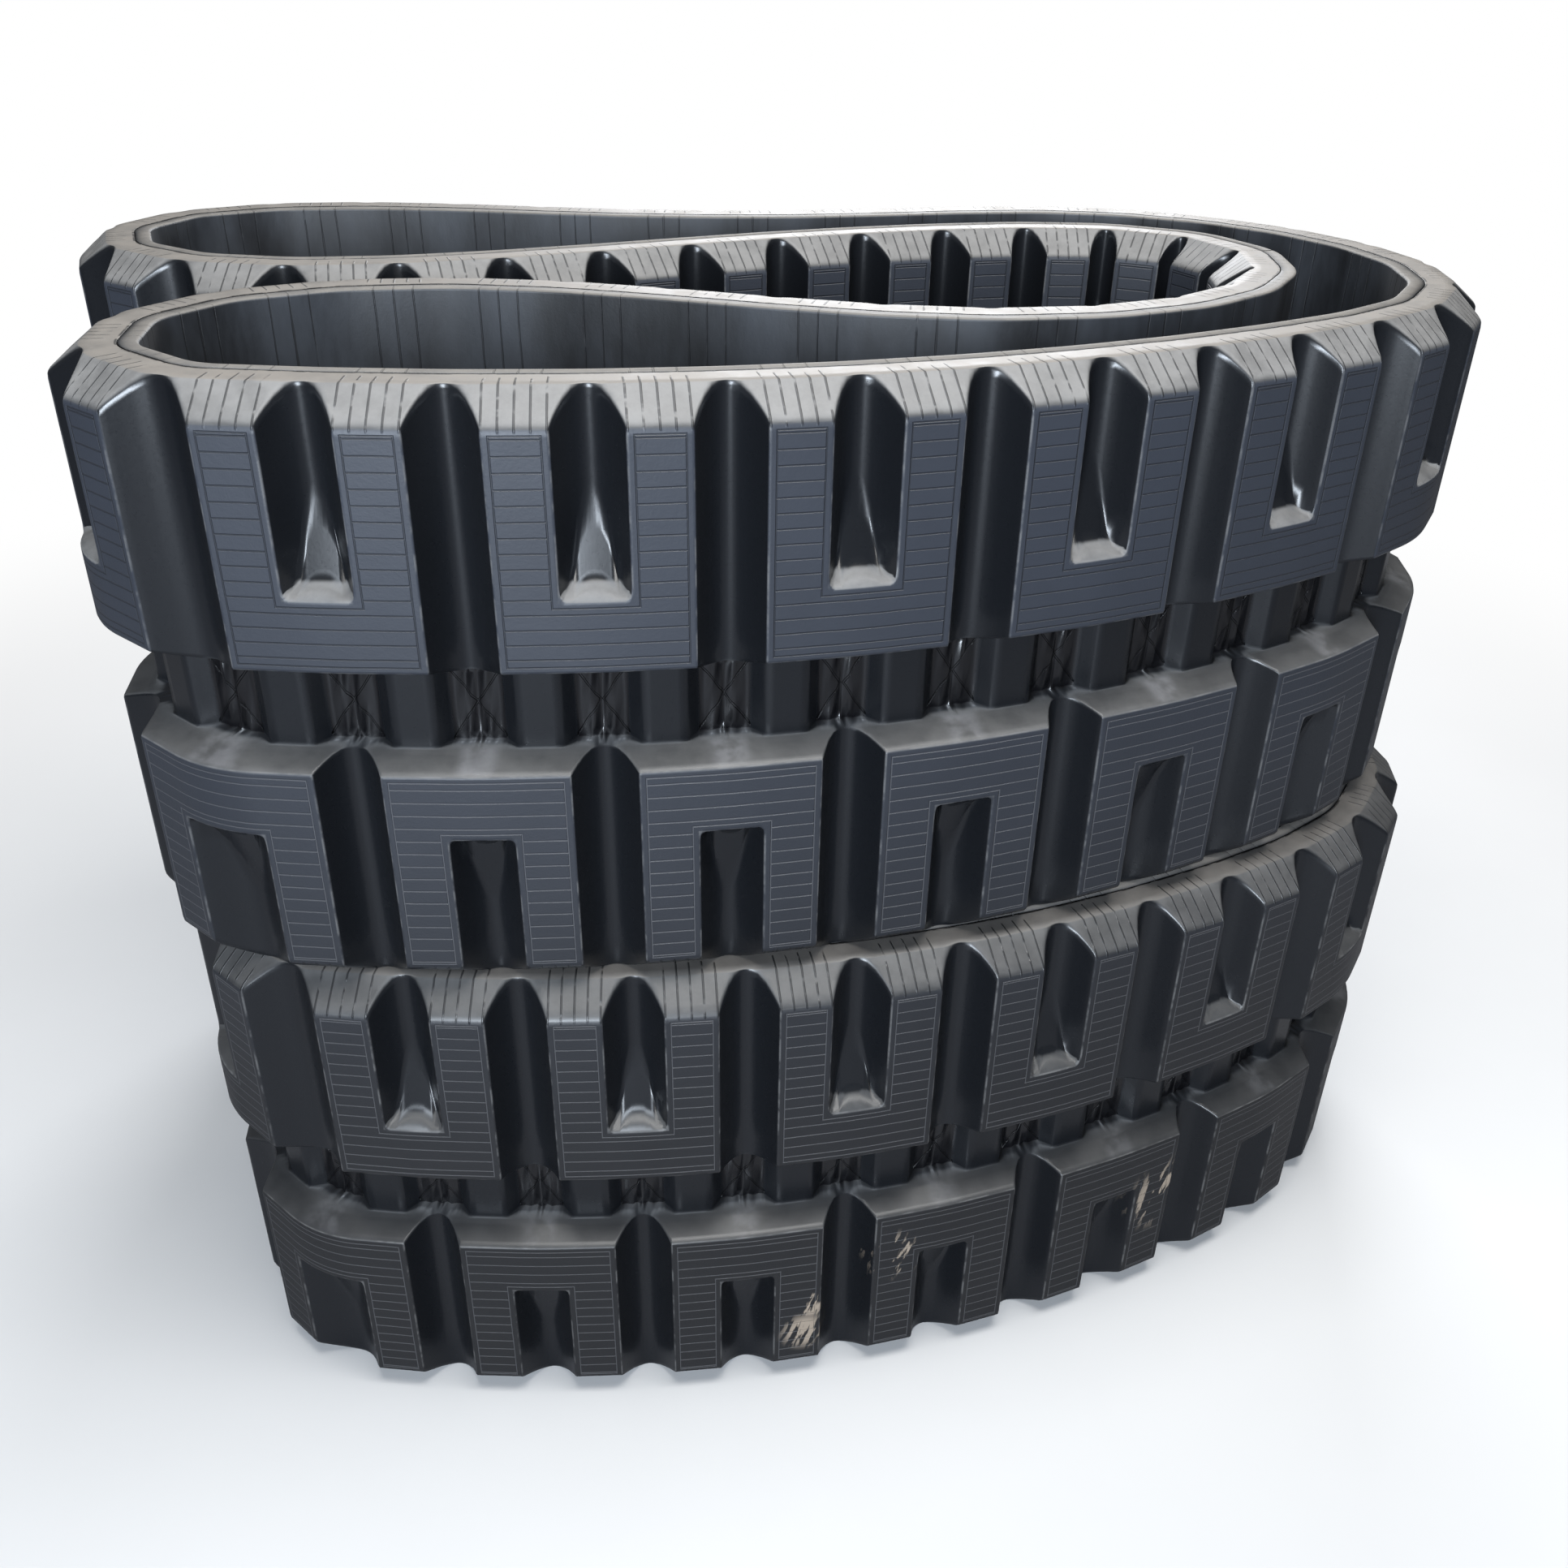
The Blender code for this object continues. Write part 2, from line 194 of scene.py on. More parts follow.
class CordLine:
    """The cord line of one track: straight along each core and curved between the cores."""

    STRAIGHT = 21.0
    CUT_GAP = 0.15
    CUT_LEAN = math.tan(math.radians(5.7))
    CUT_ROOT = -4.0

    def __init__(self, track: Track) -> None:
        """Lays the fold so that two of its link ends sit on the frame's hinges.

        Args:
            track: the track whose hinges are used.
        """
        joints = {joint["name"]: joint for joint in frame["joints"]}
        hinges = [run.hinge for run in RUNS if run.hinge]
        self.hinges = {hinge: joints[f"{track.value}_{hinge}"]["pos_m"] for hinge in hinges}
        self.turns = closed_turns()
        corners = np.concatenate([[np.zeros(2)], np.cumsum(link_steps(self.turns), axis=0)[:-1]])
        right = np.array(self.hinges["main_fold"][:2]) / MM
        left = np.array(self.hinges["front_hairpin_flex"][:2]) / MM
        old = complex(*(corners[FRONT_HAIRPIN] - corners[RIGHT_LOBE]))
        new = complex(*(left - right))
        spin = new / old / abs(new / old)
        turn = np.array([[spin.real, spin.imag], [-spin.imag, spin.real]])
        self.corners = (corners - corners[RIGHT_LOBE]) @ turn + right
        low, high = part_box(f"{track.value}_outer_front_tread")
        self.middle = (low.z + high.z) / 2 / MM

    def stations(self, run: Run, steps: Sequence[float]) -> Stations:
        """Places of a run at the same distances from the middle of each link.

        Args:
            run: the stretch of track.
            steps: distances on both sides of a link's middle, in millimetres, rising.

        Returns:
            The stations in order along the run.
        """
        offsets = np.array([-step for step in reversed(steps) if step] + list(steps))
        links = np.arange(math.floor(run.first), math.ceil(run.last))
        number, offset = (grid.ravel() for grid in np.meshgrid(links, offsets, indexing="ij"))
        travel = number + 0.5 + offset / (2 * HALF_PITCH)
        kept = (travel > run.first - 1e-9) & (travel < run.last + 1e-9)
        kept &= (offset > -HALF_PITCH) | (number == run.first)
        number, offset = number[kept], offset[kept]
        start = self.corners[number % LINKS]
        end = self.corners[(number + 1) % LINKS]
        along = (end - start) / np.linalg.norm(end - start, axis=1, keepdims=True)
        side = np.where(offset < 0, -1, 1)
        turn = np.radians(self.turns[(number + (side > 0)) % LINKS]) / 2
        reach = HALF_PITCH - self.STRAIGHT
        past = np.clip((np.abs(offset) - self.STRAIGHT) / reach, 0, 1)
        radius = reach / np.tan(turn)
        swing = turn * past
        left = np.stack([-along[:, 1], along[:, 0]], axis=1)
        ahead = side * (np.minimum(np.abs(offset), self.STRAIGHT) + radius * np.sin(swing))
        aside = radius * (1 - np.cos(swing))
        place = (start + end) / 2 + ahead[:, None] * along + aside[:, None] * left
        spun = (side * swing)[:, None]
        heading = along * np.cos(spun) + left * np.sin(spun)
        cut = np.zeros(len(number))
        if run.last == INNER_LOBE:
            cut[-1] = -1
        if run.first == INNER_LOBE:
            cut[0] = 1
        return Stations(
            web=offset * np.where((number + 1) % 2 == 0, 1, -1),
            place=place,
            along=heading,
            outward=np.stack([heading[:, 1], -heading[:, 0]], axis=1),
            bend=np.where(past > 0, turn / reach, 0.0),
            cut=cut,
        )

    def points(self, at: Stations, out: Array, up: Array) -> Array:
        """World points in metres.

        Args:
            at: the stations, one for each row.
            out: depths outward from the cord line, in millimetres, one row for each station.
            up: heights from mid-width, in millimetres, of the same shape.

        Returns:
            An array with x, y and z as its last axis.
        """
        pulled = at.cut[:, None] * (self.CUT_GAP + self.CUT_LEAN * np.maximum(self.CUT_ROOT - out, 0))
        flat = at.place[:, None] + out[..., None] * at.outward[:, None]
        flat = flat + pulled[..., None] * at.along[:, None]
        return MM * np.concatenate([flat, (up + self.middle)[..., None]], axis=2)


def smooth_least(first: Array, second: Array | float, width: Array | float) -> Array:
    """The lesser of two heights, with the edge between them rounded over a width."""
    share = np.clip(0.5 + 0.5 * (second - first) / width, 0, 1)
    return second * (1 - share) + first * share - width * share * (1 - share)


def smooth_most(first: Array, second: Array | float, width: Array | float) -> Array:
    """The greater of two heights, with the corner between them filled over a width."""
    return -smooth_least(-first, -second, width)


def make_piece(name: str, points: Array, faces: Sequence[Face], normals: Array | None = None) -> Any:
    """A mesh object.

    Args:
        name: name of the piece.
        points: one row for each vertex, in metres.
        faces: vertex numbers of each face.
        normals: one row for each vertex, or None to shade by angle.

    Returns:
        The object, linked to the scene.
    """
    mesh = bpy.data.meshes.new(name)
    mesh.from_pydata(points.tolist(), [], faces)
    mesh.update()
    mesh.shade_smooth()
    if normals is None:
        mesh.set_sharp_from_angle(angle=math.radians(SHARP_DEGREES))
    else:
        mesh.normals_split_custom_set_from_vertices(normals.tolist())
    piece = bpy.data.objects.new(name, mesh)
    bpy.context.scene.collection.objects.link(piece)
    return piece


def add_vectors(piece: Any, name: str, values: Array) -> None:
    """Stores a vector for each vertex under a name that the finishes read."""
    attribute = piece.data.attributes.new(name, "FLOAT_VECTOR", "POINT")
    attribute.data.foreach_set("vector", values.astype(np.float32).ravel())


def tube(rows: int, columns: int) -> list[Face]:
    """Faces of a closed tube whose rings follow one another along a run.

    Args:
        rows: how many rings there are.
        columns: how many points each ring has.

    Returns:
        The faces, in order along the run.
    """
    ring = np.arange((rows - 1) * columns).reshape(rows - 1, columns)
    beside = np.roll(ring, -1, axis=1)
    quads = np.stack([ring, ring + columns, beside + columns, beside], axis=-1)
    return [tuple(quad) for quad in quads.reshape(-1, 4).tolist()]


def local_places(at: Stations, out: Array, up: Array) -> Array:
    """Distance towards the web, depth and height of each point, one row for each."""
    web = np.broadcast_to(at.web[:, None], out.shape)
    return np.stack([web, out, up], axis=2).reshape(-1, 3)


@dataclass
class Skin:
    """What the layers share: how a ring of points is carried along a run and capped at a cut."""

    line: CordLine
    track: Track

    def build(self, run: Run, layer: Layer, at: Stations, out: Array, up: Array, normals: Array) -> Any:
        """One piece from rings of points.

        Args:
            run: the stretch of track.
            layer: the layer that the piece stands for.
            at: the stations.
            out: depths, one row for each station.
            up: heights, one row for each station.
            normals: local normals along, outward and up for each point.

        Returns:
            The piece; that of a run without a hinge rides on its body.
        """
        rows, columns = out.shape
        points = self.line.points(at, out, up)
        flat = normals[..., 0:1] * at.along[:, None] + normals[..., 1:2] * at.outward[:, None]
        world = np.concatenate([flat, normals[..., 2:3]], axis=2)
        world /= np.linalg.norm(world, axis=2, keepdims=True)
        faces = tube(rows, columns)
        for row in (0, rows - 1):
            if at.cut[row]:
                cap = list(range(row * columns, (row + 1) * columns))
                faces.append(tuple(cap if row else reversed(cap)))
        piece = make_piece(self.name(run, layer), points.reshape(-1, 3), faces, world.reshape(-1, 3))
        self.finish(piece, run, layer, local_places(at, out, up))
        return piece

    def name(self, run: Run, layer: Layer) -> str:
        """Name of the piece of a run in a layer."""
        return f"{self.track.value}_{run.name}_{layer.value}"

    def finish(self, piece: Any, run: Run, layer: Layer, local: Array) -> None:
        """Stores what the finishes read and ties the piece of a run without a hinge to its body.

        Args:
            piece: the piece, with its final mesh.
            run: the stretch of track.
            layer: the layer that the piece stands for.
            local: distance towards the web, depth and height for each vertex, in millimetres.
        """
        add_vectors(piece, "place", local)
        rest = np.empty(len(piece.data.vertices) * 3, np.float32)
        piece.data.vertices.foreach_get("co", rest)
        add_vectors(piece, "rest", rest)
        bodies = [f"{self.track.value}_{section}" for section in run.sections]
        if run.hinge:
            x, y, z = self.line.hinges[run.hinge]
            start, end = ((x, y + reach, z) for reach in run.slab)
            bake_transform(piece)
            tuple(start)
            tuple(end)
        else:
            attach(piece, bodies[0])
        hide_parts(*(f"{body}_{layer.value}" for body in bodies))


@dataclass
class Tread(Skin):
    """The tread as a height field: lugs, webs, notches, grooves, shoulders, pads and windows.

    Depths are outward from the cord line and heights from mid-width, in millimetres. A slope is
    a change of depth over one of height, and a blend is the width of a rounded edge or corner.
    """

    face: float = 44.0
    leg_half: float = 21.0
    leg_end: float = 205.0
    notch_top: float = 91.0
    root: float = 39.0
    root_slope: float = 26 / 9
    foot: float = 30.0
    band: float = 18.0
    groove_floor: float = 16.0
    groove_power: float = 2.1
    chamfer: float = 1.3
    ramp_foot: float = 143.0
    ramp_slope: float = 8 / 37
    ramp_top: float = 26.6
    steep_foot: float = 99.8
    steep: float = 2.0
    ramp_blend: float = 2.0
    edge_blend: float = 2.4
    chamfer_blend: float = 6.0
    root_blend: float = 4.0
    corner_least: float = 2.5
    corner_growth: float = 16.0
    corner_from: float = 32.0
    corner_reach: float = 12.0
    pad_half: float = 15.5
    pad_slope: float = 1.35
    pad_blend: float = 2.5
    window: float = 5.0
    crease: float = 1.3
    crease_from: float = 27.0
    edge_drop: float = 1.2
    shoulder: float = 9.0
    back: float = 2.2
    back_edge: float = -6.0
    belt_edge: float = 185.3

    STEPS = (0, 9, 15, 17, 19, 20.3, 21.6, 23, 25, 29, 34, 38.5, 41.5, 43)
    HEIGHTS = (
        *(0, 22, 29.2, 30.8, 34, 37, 39.2, 41.5, 65, 88, 90.5, 93, 97, 102, 107, 114),
        *(128, 146, 172, 199, 203, 205, 207.5, 211, 218, 223, 224.7),
    )
    NUDGE = 0.3

    def wall(self, web: Array) -> Array:
        """Depth of a groove's side and floor, which goes on rising under the lug."""
        share = np.clip((HALF_PITCH - np.abs(web)) / (HALF_PITCH - self.leg_half), 0, None)
        return self.groove_floor + (self.face - self.groove_floor) * share**self.groove_power

    def lug_height(self, web: Array, height: Array) -> Array:
        """Depth of the lug field.

        Args:
            web: distance from a link's middle towards its web, in millimetres.
            height: distance from mid-width, in millimetres.

        Returns:
            How far the surface stands out from the cord line, in millimetres.
        """
        wall = self.wall(web)
        steep = self.ramp_top + (self.steep_foot - height) * self.steep
        ramp = self.band + (self.ramp_foot - height) * self.ramp_slope
        ramp = smooth_most(steep, ramp, self.ramp_blend)
        rise = np.clip((np.minimum(wall, ramp) - self.corner_from) / self.corner_reach, 0, 1)
        notched = smooth_most(wall, ramp, self.corner_least + self.corner_growth * rise)
        field = np.where(web > 0, notched, wall)
        field = smooth_least(field, self.face, self.edge_blend)
        sloped = self.face - (height - self.leg_end) * self.chamfer
        field = smooth_least(field, sloped, self.chamfer_blend)
        return smooth_least(field, self.band + (height - self.foot) * self.root_slope, self.root_blend)

    def channel_height(self, web: Array, height: Array) -> Array:
        """Depth of the middle channel: a pad over each core and a thin film in each window.

        Args:
            web: distance from a link's middle towards its web, in millimetres.
            height: distance from mid-width, in millimetres.

        Returns:
            How far the surface stands out from the cord line, in millimetres.
        """
        away = np.abs(web)
        slope = smooth_least(self.band - (away - self.pad_half) * self.pad_slope, self.band, self.pad_blend)
        waves = np.sin(away * 0.7 + height * 0.31) * np.clip((away - self.crease_from) / 10, 0, 1)
        return smooth_most(slope, self.window + self.crease * waves, 2)

    def height(self, web: Array, height: Array) -> Array:
        """Depth of the tread's face anywhere, on the row that height's size gives."""
        return np.where(height > self.foot, self.lug_height(web, height), self.channel_height(web, height))

    def columns(self, web: Array) -> Array:
        """Heights of the grid's columns, moved so that they follow the ridges of the lugs.

        Args:
            web: distance towards the web on this row, one for each station.

        Returns:
            One row of heights for each station, rising from mid-width.
        """
        moved = []
        for distance, wall in zip(web, np.minimum(self.wall(web), self.face)):
            root = self.root + 0.2
            if distance < self.leg_half:
                root = self.foot + 1 + max(wall - self.band, 0) * 8.2 / 26
            hip = min(self.leg_end + (self.face - wall) / self.chamfer, HALF_WIDTH - 1.2)
            foot = 114.0
            if distance > self.leg_half:
                foot = self.steep_foot - (wall - self.ramp_top) / self.steep
                if wall < self.ramp_top:
                    foot = self.ramp_foot - (wall - self.band) / self.ramp_slope
            foot = min(max(foot, 97.0), 150.0)
            from_heights = (0, 30.8, 39.2, 41.5, 88, 91, 114, 116, 199, 205, 224.7)
            to_heights = (0, 30.8, root, root + 2.3, 88, 91, foot, foot + 2, hip - 6, hip, 224.7)
            moved.append(np.interp(self.HEIGHTS, from_heights, to_heights))
        return np.array(moved)

    def make(self, run: Run) -> Any:
        """The tread of one run.

        Args:
            run: the stretch of track.

        Returns:
            The piece.
        """
        at = self.line.stations(run, self.STEPS)
        lower, upper = self.columns(-at.web), self.columns(at.web)
        up = np.concatenate([-lower[:, :0:-1], upper], axis=1)
        row, size = np.where(up < 0, -1, 1), np.abs(up)
        web, step = at.web[:, None] * row, self.NUDGE
        out = self.height(web, size)
        slope_up = (self.height(web, size + step) - self.height(web, size - step)) / (2 * step)
        slope_up = np.where(size < 1, 0, slope_up) * np.sign(up)
        slope_web = (self.height(web + step, size) - self.height(web - step, size)) / (2 * step)
        facing = row * self.direction(at)[:, None]
        stretch = 1 + out * at.bend[:, None]
        normals = np.stack([-slope_web * facing / stretch, np.ones_like(out), -slope_up], axis=2)
        front = (out, up, normals)
        ring = (np.concatenate(both, axis=1) for both in zip(front, self.side(out)))
        return self.build(run, Layer.TREAD, at, *ring)

    def direction(self, at: Stations) -> Array:
        """Whether the distance towards the web grows or falls along the run.

        Args:
            at: the stations.

        Returns:
            1 or -1 for each station, or 0 on a web's middle.
        """
        after = np.diff(at.web, append=2 * at.web[-1] - at.web[-2])
        before = np.diff(at.web, prepend=2 * at.web[0] - at.web[1])
        return np.where(np.abs(at.web) > HALF_PITCH - 1e-6, 0, np.sign(after + before))

    def side(self, front: Array) -> tuple[Array, Array, Array]:
        """The rest of each ring: over the upper edge, along the back and up the lower edge.

        Args:
            front: depths of the front, one row for each station.

        Returns:
            Depths, heights and normals of the added points.
        """
        rows = len(front)
        edge = front[:, -1:] - self.edge_drop
        bevel = 0.3
        half = [(edge, HALF_WIDTH, 0.5, 1), (self.shoulder, HALF_WIDTH, 0, 1)]
        half += [(self.back_edge + bevel, HALF_WIDTH, 0, 1)]
        half += [(self.back_edge + 0.05, HALF_WIDTH - bevel, -0.6, 1)]
        half += [(self.back_edge, self.belt_edge, -1, 0), (self.back, self.belt_edge, -1, 0)]
        out, up, normals = [], [], []
        for depth, height, outward, upward in half:
            out.append(np.broadcast_to(depth, (rows, 1)))
            up.append(np.full((rows, 1), height))
            normals.append(np.broadcast_to(np.array([0.0, outward, upward]), (rows, 1, 3)))
        mirrored = [normal * np.array([1, 1, -1]) for normal in reversed(normals)]
        mirror_out = list(reversed(out[1:])) + [front[:, :1] - self.edge_drop]
        return (
            np.concatenate(out + mirror_out, axis=1),
            np.concatenate(up + [-height for height in reversed(up)], axis=1),
            np.concatenate(normals + mirrored, axis=1),
        )


@dataclass
class RollerPath(Skin):
    """A strip of smooth inner rubber beside the horns, with rounded edges."""

    row: int = 1
    face: float = -20.0
    back: float = -6.3
    inner: float = 52.3
    round: float = 2.4
    bevel: float = 1.5
    seam: float = 0.3

    STEPS = (0, 15, 21, 23, 26, 30, 34.5, 39, 43)
    CORNER_STEPS = 4

    def ring(self) -> list[tuple[float, float, float, float]]:
        """Outline of the upper strip.

        Returns:
            Depth, height and normal of each point.
        """
        corner = []
        for step in range(self.CORNER_STEPS + 1):
            angle = math.radians(90 * step / self.CORNER_STEPS)
            cos, sin = math.cos(angle), math.sin(angle)
            out = self.face + self.round * (1 - sin)
            corner.append((out, HALF_WIDTH - self.round * (1 - cos), -sin, cos))
        back = [(self.back - self.seam, HALF_WIDTH, 0, 1), (self.back, HALF_WIDTH - self.seam, 1, 0.5)]
        front = [(self.face, self.inner + self.bevel, -1, 0), (self.face + self.bevel, self.inner, 0, -1)]
        return [*back, *corner, *front, (self.back, self.inner, 1, -1)]

    def make(self, run: Run) -> Any:
        """The strip of one run.

        Args:
            run: the stretch of track.

        Returns:
            The piece.
        """
        at = self.line.stations(run, self.STEPS)
        ring = np.array(self.ring())
        if self.row < 0:
            ring = ring[::-1] * np.array([1, -1, 1, -1])
        grid = np.broadcast_to(ring, (len(at.web), *ring.shape))
        normals = np.concatenate([np.zeros((*grid.shape[:2], 1)), grid[..., 2:]], axis=2)
        layer = Layer.PATH_TOP if self.row > 0 else Layer.PATH_BOTTOM
        return self.build(run, layer, at, grid[..., 0], grid[..., 1], normals)


@dataclass
class CoreRow(Skin):
    """The steel cores with their guide horns, on two belts of steel cord."""

    inner: float = -6.0
    outer: float = 1.9
    horn_foot: float = -18.0
    horn_tip: float = -40.0
    half_length: float = 52.0
    belt_inner: float = 52.0
    belt_outer: float = 185.0

    BELT_STEPS = (0, 21, 28.3, 35.7, 43)
    HORN = (
        *((-18.0, 0.0), (-18.0, 24.0), (-19.5, 28.5), (-25.0, 30.6), (-35.0, 32.8)),
        *((-38.6, 34.2), (-40.0, 37.0), (-40.0, 47.5), (-38.5, 50.6), (-35.0, 51.6)),
        *((-6.0, 52.0), (1.9, 52.0)),
    )
    SLICES = ((-22, 1.6, 0.55), (-20.6, 0, 0.7), (-17, 0, 0.9), (-12, 0, 1), (12, 0, 1), (17, 0, 0.9))
    SLICES += ((20.6, 0, 0.7), (22, 1.6, 0.55))

    def make(self, run: Run) -> Any:
        """The cores and belts of one run.

        Args:
            run: the stretch of track.

        Returns:
            The piece.
        """
        points, faces, local = [], [], []
        half = np.array(self.HORN)
        outline = np.concatenate([half[:0:-1] * np.array([1, -1]), half])
        middles = self.line.stations(run, (0,))
        for number in range(len(middles.web)):
            first = len(points)
            for step, inset, rise in self.SLICES:
                horn = self.horn_foot + (outline[:, 0] - self.horn_foot) * rise
                depth = np.where(outline[:, 0] < self.horn_foot, horn, outline[:, 0])
                depth = np.clip(depth, self.horn_tip, self.outer - inset)
                height = outline[:, 1] * (1 - inset / self.half_length)
                spot = middles.place[number] + step * middles.along[number]
                for out, up in zip(depth, height):
                    flat = spot + out * middles.outward[number]
                    points.append((*(flat * MM), (up + self.line.middle) * MM))
                    local.append((step, out, up))
            faces += self.block(first, len(self.SLICES), len(outline))
        for row in (-1, 1):
            self.add_belt(run, row, points, faces, local)
        piece = make_piece(self.name(run, Layer.CORES), np.array(points), faces)
        self.finish(piece, run, Layer.CORES, np.array(local))
        return piece

    def block(self, first: int, rows: int, columns: int) -> list[Face]:
        """Faces of a capped tube whose rings run against the run's own order.

        Args:
            first: number of its first vertex.
            rows: how many rings it has.
            columns: how many points each ring has.

        Returns:
            The faces of its sides and both ends.
        """
        last = first + (rows - 1) * columns
        ends = [tuple(range(first, first + columns)), tuple(reversed(range(last, last + columns)))]
        return [tuple(first + n for n in reversed(face)) for face in tube(rows, columns)] + ends

    def add_belt(self, run: Run, row: int, points: list, faces: list, local: list) -> None:
        """Adds one belt of steel cord to the piece's lists.

        Args:
            run: the stretch of track.
            row: 1 for the upper belt and -1 for the lower.
            points: the piece's points so far.
            faces: its faces so far.
            local: its local places so far.
        """
        at = self.line.stations(run, self.BELT_STEPS)
        edges = [(self.outer, self.belt_inner), (self.outer, self.belt_outer)]
        edges += [(self.inner, self.belt_outer), (self.inner, self.belt_inner)]
        ring = np.array(edges if row > 0 else edges[::-1]) * np.array([1, row])
        rows, columns = len(at.web), len(edges)
        out, up = (np.broadcast_to(ring[:, axis], (rows, columns)) for axis in (0, 1))
        first = len(points)
        points += self.line.points(at, out, up).reshape(-1, 3).tolist()
        local += local_places(at, out, up).tolist()
        faces += [tuple(first + n for n in face) for face in tube(rows, columns)]
        last = first + columns * (rows - 1)
        faces += [tuple(reversed(range(first, first + columns))), tuple(range(last, last + columns))]


class Value:
    """A float socket of a node tree that Python's operators can be used on."""

    # The share of a line's width that is at full strength.
    FULL = 0.35
    SMOOTH = {"interpolation_type": "SMOOTHSTEP"}

    def __init__(self, nodes: "Nodes", socket: Any) -> None:
        """Wraps an output socket."""
        self.nodes = nodes
        self.socket = socket

    def math(self, operation: str, *others: "Value | float") -> "Value":
        """One step of maths on this value and others."""
        made = self.nodes.add("ShaderNodeMath", {"operation": operation}, *(self, *others))
        return Value(self.nodes, made.outputs[0])

    def __add__(self, other: "Value | float") -> "Value":
        """Sum."""
        return self.math("ADD", other)

    def __sub__(self, other: "Value | float") -> "Value":
        """Difference."""
        return self.math("SUBTRACT", other)

    def __rsub__(self, other: float) -> "Value":
        """Difference from the right."""
        return self.math("MULTIPLY", -1.0) + other

    def __mul__(self, other: "Value | float") -> "Value":
        """Product."""
        return self.math("MULTIPLY", other)

    def __truediv__(self, other: "Value | float") -> "Value":
        """Quotient."""
        return self.math("DIVIDE", other)

    __radd__ = __add__
    __rmul__ = __mul__

    def size(self) -> "Value":
        """The value without its sign."""
        return self.math("ABSOLUTE")

    def sign(self) -> "Value":
        """1, 0 or -1."""
        return self.math("SIGN")

    def least(self, other: "Value | float") -> "Value":
        """The lesser of two."""
        return self.math("MINIMUM", other)

    def most(self, other: "Value | float") -> "Value":
        """The greater of two."""
        return self.math("MAXIMUM", other)

    def ramp(self, start: float, end: float) -> "Value":
        """0 before start and 1 after end, with a smooth step between them."""
        made = self.nodes.add("ShaderNodeMapRange", self.SMOOTH, self, start, end, 0.0, 1.0)
        return Value(self.nodes, made.outputs[0])

    def line(self, width: float) -> "Value":
        """1 where the value is about 0, falling to 0 at a width to each side."""
        return 1.0 - self.size().ramp(width * self.FULL, width)

    def every(self, period: float) -> "Value":
        """Distance to the nearest whole number of periods."""
        return ((self / period).math("ADD", 0.5).math("FRACT") - 0.5) * period


class Nodes:
    """Builds the nodes of one material or world."""

    def __init__(self, owner: Any) -> None:
        """Starts from the emptied tree of a material or world.

        Args:
            owner: the material or world.
        """
        owner.use_nodes = True
        self.tree = owner.node_tree
        self.tree.nodes.clear()

    def add(self, kind: str, settings: dict[str, Any], *inputs: Any, **named: Any) -> Any:
        """A node.

        Args:
            kind: Blender's name of the node's type.
            settings: properties, set before the inputs.
            inputs: values or sockets for the first inputs in order; None leaves one as it is.
            named: values or sockets by input name, with _ for a space.

        Returns:
            The node.
        """
        node = self.tree.nodes.new(kind)
        for name, value in settings.items():
            setattr(node, name, value)
        for socket, value in zip(node.inputs, inputs):
            self.feed(socket, value)
        for name, value in named.items():
            self.feed(node.inputs[name.replace("_", " ")], value)
        return node

    def feed(self, socket: Any, value: Any) -> None:
        """Links or sets one input.

        Args:
            socket: the input.
            value: a value, a socket, what to set it to, or None to leave it.
        """
        if isinstance(value, Value):
            value = value.socket
        if isinstance(value, bpy.types.NodeSocket):
            self.tree.links.new(value, socket)
        elif value is not None:
            socket.default_value = value

    def vector(self, name: str) -> Any:
        """The socket of a vector that the pieces store."""
        return self.add("ShaderNodeAttribute", {"attribute_name": name}).outputs["Vector"]

    def parts(self, vector: Any) -> tuple[Value, Value, Value]:
        """The three numbers of a vector."""
        x, y, z = self.add("ShaderNodeSeparateXYZ", {}, vector).outputs
        return Value(self, x), Value(self, y), Value(self, z)

    def distance(self, vector: Any, point: Place) -> Value:
        """Distance from a vector to a point."""
        node = self.add("ShaderNodeVectorMath", {"operation": "DISTANCE"}, vector, point)
        return Value(self, node.outputs["Value"])

    def noise(self, vector: Any, scale: float, detail: float = 3.0, rough: float = 0.55) -> Value:
        """Noise about 0.5 over a vector."""
        sockets = {"Vector": vector, "Scale": scale, "Detail": detail, "Roughness": rough}
        return Value(self, self.add("ShaderNodeTexNoise", {}, **sockets).outputs[0])

    def mix(self, share: Value | float, first: Any, second: Any) -> Any:
        """A colour between two.

        Args:
            share: how much of the second it has.
            first: a colour or its socket.
            second: a colour or its socket.

        Returns:
            The socket of the colour.
        """
        node = self.add("ShaderNodeMix", {"data_type": "RGBA"})
        colours = [socket for socket in node.inputs if socket.type == "RGBA"]
        self.feed(node.inputs[0], share)
        for socket, value in zip(colours, (first, second)):
            self.feed(socket, (*value, 1.0) if isinstance(value, tuple) else value)
        return next(socket for socket in node.outputs if socket.type == "RGBA")

    def show(self, kind: str, shader: Any) -> None:
        """Ends the tree with a shader's node, in an output of a material or a world."""
        self.add(kind, {}, Surface=shader.outputs[0])


@dataclass
class Surface:
    """What a finish says about each spot: colour, roughness, relief in millimetres and gloss."""

    colour: Any
    roughness: Value
    relief: Value
    gloss: Value | float = 0.0


